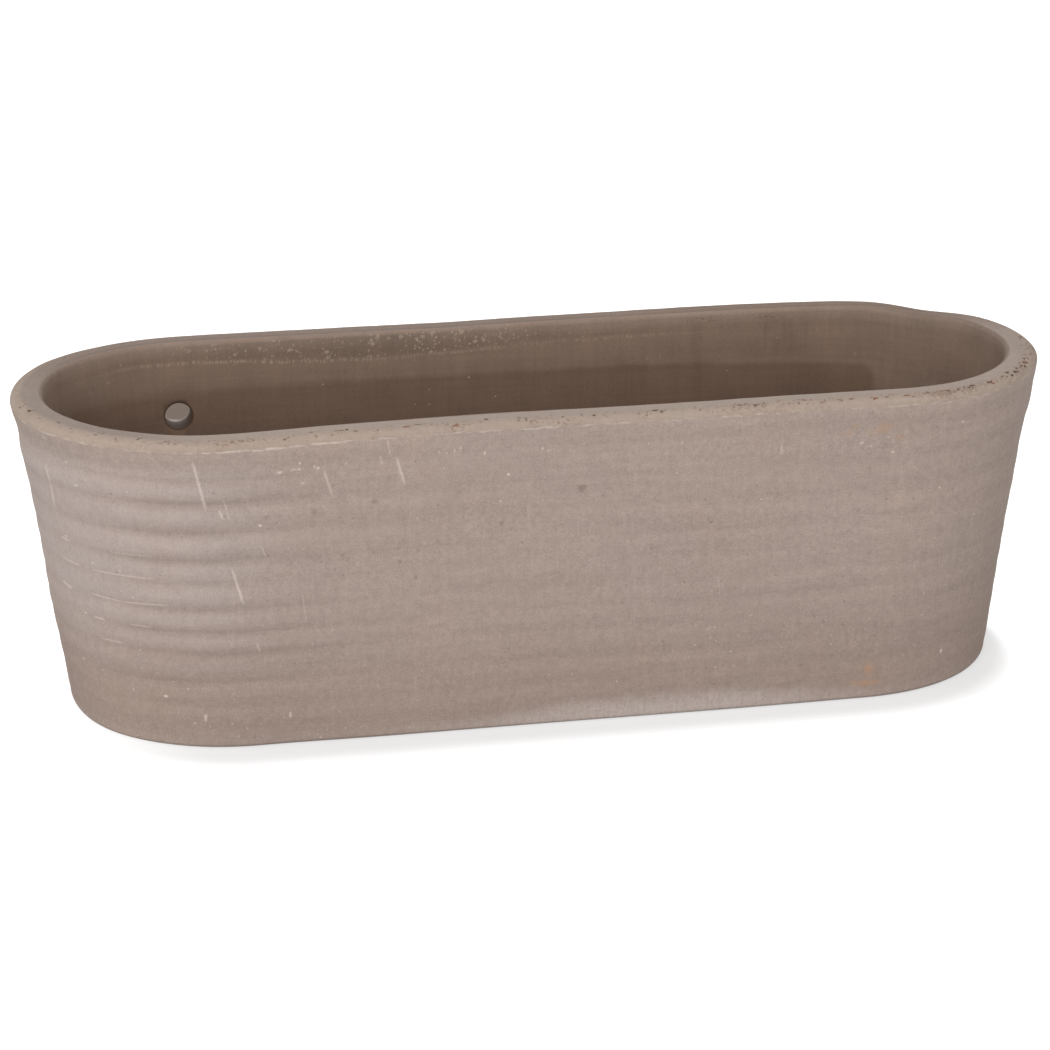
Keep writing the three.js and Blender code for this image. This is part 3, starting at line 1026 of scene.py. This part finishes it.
# The photograph's frame, and where the middle of the planter lies in it, in pixels.
PHOTO_SIZE = 1050
MIDDLE_IN_PHOTO = (533.26, 513.96)

LAMP_DISTANCE = 2.4
LAMPS = (
    # name, azimuth and elevation in degrees, width and height in metres
    ("key", -22, 25, 1.6, 1.0),
    ("left", -84, 28, 2.0, 1.6),
    ("right", 62, 28, 2.0, 1.6),
    ("back", 172, 15, 2.0, 1.2),
)

# The floor reaches this far from the planter, a hair below the ground.
FLOOR_REACH = 8.0
FLOOR_DEPTH = 0.02 * MM
# Where a look through the hole in the wall falls on the floor, in metres; a shadow is painted
# there.
SEEN_THROUGH_HOLE = (-0.114, 0.396)


def direction(azimuth, elevation):
    """The way from the planter to a place round it, in degrees. Azimuth 0 is in front."""
    turn, rise = math.radians(azimuth), math.radians(elevation)
    return Vector(
        (math.sin(turn) * math.cos(rise), -math.cos(turn) * math.cos(rise), math.sin(rise))
    )


def add_facing(name, data, middle, way, distance):
    """Adds a camera or a lamp that far from the planter, facing it."""
    turn = (-way).to_track_quat("-Z", "Y")
    return turned(add_object(name, data), middle + way * distance, turn)


def add_camera(studio, middle):
    camera = bpy.data.cameras.new("studio_camera")
    camera.lens = studio.lens
    camera.sensor_width = 36
    camera.shift_x = 0.5 - MIDDLE_IN_PHOTO[0] / PHOTO_SIZE
    camera.shift_y = MIDDLE_IN_PHOTO[1] / PHOTO_SIZE - 0.5
    back = direction(studio.azimuth, studio.elevation)
    holder = add_facing("studio_camera", camera, middle, back, studio.distance)
    bpy.context.scene.camera = holder


def add_lamp(studio, middle, name, azimuth, elevation, width, height):
    """A large soft lamp that faces the planter."""
    lamp = bpy.data.lights.new(f"{name}_lamp", "AREA")
    lamp.shape = "RECTANGLE"
    lamp.size = width
    lamp.size_y = height
    lamp.energy = getattr(studio, f"{name}_strength")
    add_facing(lamp.name, lamp, middle, direction(azimuth, elevation), LAMP_DISTANCE)


def seen_directly(tree):
    """1 for rays that show the surface itself, in the picture, a mirror or glass."""
    path = tree.node("LightPath", None, "Is Camera Ray")
    return path | path.output("Is Glossy Ray") | path.output("Is Transmission Ray")


def floor_material(studio, shape):
    """A pale floor that the camera sees white, but for a painted soft shadow round the planter's
    foot, the ground under it and a painted shadow on the spot that is seen through the hole in its
    back wall."""
    material = bpy.data.materials.new("studio_floor")
    tree = ShaderTree(material)
    spot = tree.node("TexCoord", None, "Object")
    x = tree.node("SeparateXYZ", {0: spot})
    y = x.output("Y")

    def from_oblong(middle, half):
        past = (abs(x - middle[0]) - half[0]) | 0.0
        beyond = (abs(y - middle[1]) - half[1]) | 0.0
        return tree.maths("SQRT", past * past + beyond * beyond)

    # A painted shadow on the floor where the hole in the wall looks.
    hole_view_shadow = from_oblong(SEEN_THROUGH_HOLE, (0.002, 0.008)).fade(0.02, 0.006)
    radius = shape.base_width / 2
    away = from_oblong((0, 0), (shape.base_length / 2 - radius, 0)) - radius
    in_view = away.fade(-0.006, -0.003) * (1 - hole_view_shadow)
    before = tree.maths("MINIMUM", (y / -radius) | 0.0, 1.0)
    # A painted contact shadow round the foot, partly the floor's real shade.
    reach = 0.009 + before * 0.023 + x.fade(-0.12, -0.2) * -0.004
    contact_shadow = (away / reach).fade(1.0, 0.25) * (1 - x.fade(-0.15, -0.21) * 0.5)
    colour = tree.mix(hole_view_shadow, studio.floor, studio.floor_shade)
    matt = tree.node("BsdfDiffuse", {"Color": colour})
    glow = tree.node("Emission", {"Color": studio.backdrop, "Strength": 1.0})
    both = tree.node("AddShader", {0: matt, 1: glow})
    lift = studio.floor_lift - contact_shadow * (0.4 + (reach - 0.009) * 2.4)
    seen = seen_directly(tree) * in_view * lift
    surface = tree.node("MixShader", {0: seen, 1: matt, 2: both})
    tree.node("OutputMaterial", {"Surface": surface})
    return material


def add_floor(studio, shape):
    mesh = bpy.data.meshes.new("studio_floor")
    far = FLOOR_REACH
    corners = [(-far, -far), (far, -far), (far, far), (-far, far)]
    mesh.from_pydata([(x, y, -FLOOR_DEPTH) for x, y in corners], [], [(0, 1, 2, 3)])
    mesh.materials.append(floor_material(studio, shape))
    add_object("studio_floor", mesh)


def light_world(studio):
    """Even light from all round, and a white background."""
    world = bpy.data.worlds.new("studio_world")
    bpy.context.scene.world = world
    tree = ShaderTree(world)
    light = tree.node("Background", {"Strength": studio.ambient})
    backdrop = tree.node("Background", {"Color": studio.backdrop, "Strength": 1})
    sky = tree.node("MixShader", {0: seen_directly(tree), 1: light, 2: backdrop})
    tree.node("OutputWorld", {"Surface": sky})


# ---- Operators and panel ----


class PLANTER_OT_trough(bpy.types.Operator):
    """Makes the fired-clay trough with its holes and its worn finish"""

    bl_idname = "planter.trough"
    bl_label = "Make trough"

    def execute(self, context):
        shape = context.scene.planter_shape
        clay = context.scene.planter_clay
        trough = add_object("clay_trough", trough_mesh(shape))
        cut_holes(trough, shape)
        trough.data.polygons.foreach_set("use_smooth", [True] * len(trough.data.polygons))
        trough.data.materials.clear()
        trough.data.materials.append(clay_material(shape, clay))
        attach(trough, "root")
        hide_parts("planter_body")
        return {"FINISHED"}


class PLANTER_OT_studio(bpy.types.Operator):
    """Sets up the floor, the lamps, the even light and the camera"""

    bl_idname = "planter.studio"
    bl_label = "Set up studio"

    def execute(self, context):
        studio = context.scene.planter_studio
        middle = (CAD_LOW + CAD_HIGH) / 2
        add_floor(studio, context.scene.planter_shape)
        light_world(studio)
        for lamp in LAMPS:
            add_lamp(studio, middle, *lamp)
        add_camera(studio, middle)
        context.scene.view_settings.view_transform = "Standard"
        return {"FINISHED"}


class PLANTER_PT_panel(bpy.types.Panel):
    """Lists the steps that make the planter"""

    bl_idname = "PLANTER_PT_panel"
    bl_label = "Wall planter"
    bl_space_type = "VIEW_3D"
    bl_region_type = "UI"
    bl_category = "Planter"

    def draw(self, context):
        for operator in OPERATORS:
            self.layout.operator(operator.bl_idname)
        for group in (getattr(context.scene, name) for name in GROUPS):
            for name in group.bl_rna.properties.keys():
                if name not in ("rna_type", "name"):
                    self.layout.prop(group, name)


GROUPS = {
    "planter_shape": PlanterShape,
    "planter_clay": PlanterClay,
    "planter_studio": PlanterStudio,
}
OPERATORS = (PLANTER_OT_trough, PLANTER_OT_studio)


def register():
    for kind in (*GROUPS.values(), *OPERATORS, PLANTER_PT_panel):
        bpy.utils.register_class(kind)
    for name, kind in GROUPS.items():
        setattr(bpy.types.Scene, name, bpy.props.PointerProperty(type=kind))


def unregister():
    for name in GROUPS:
        delattr(bpy.types.Scene, name)
    for kind in (PLANTER_PT_panel, *reversed(OPERATORS), *reversed(GROUPS.values())):
        bpy.utils.unregister_class(kind)


def main():
    register()
    bpy.ops.planter.trough()
    bpy.ops.planter.studio()


if __name__ == "__main__":
    main()
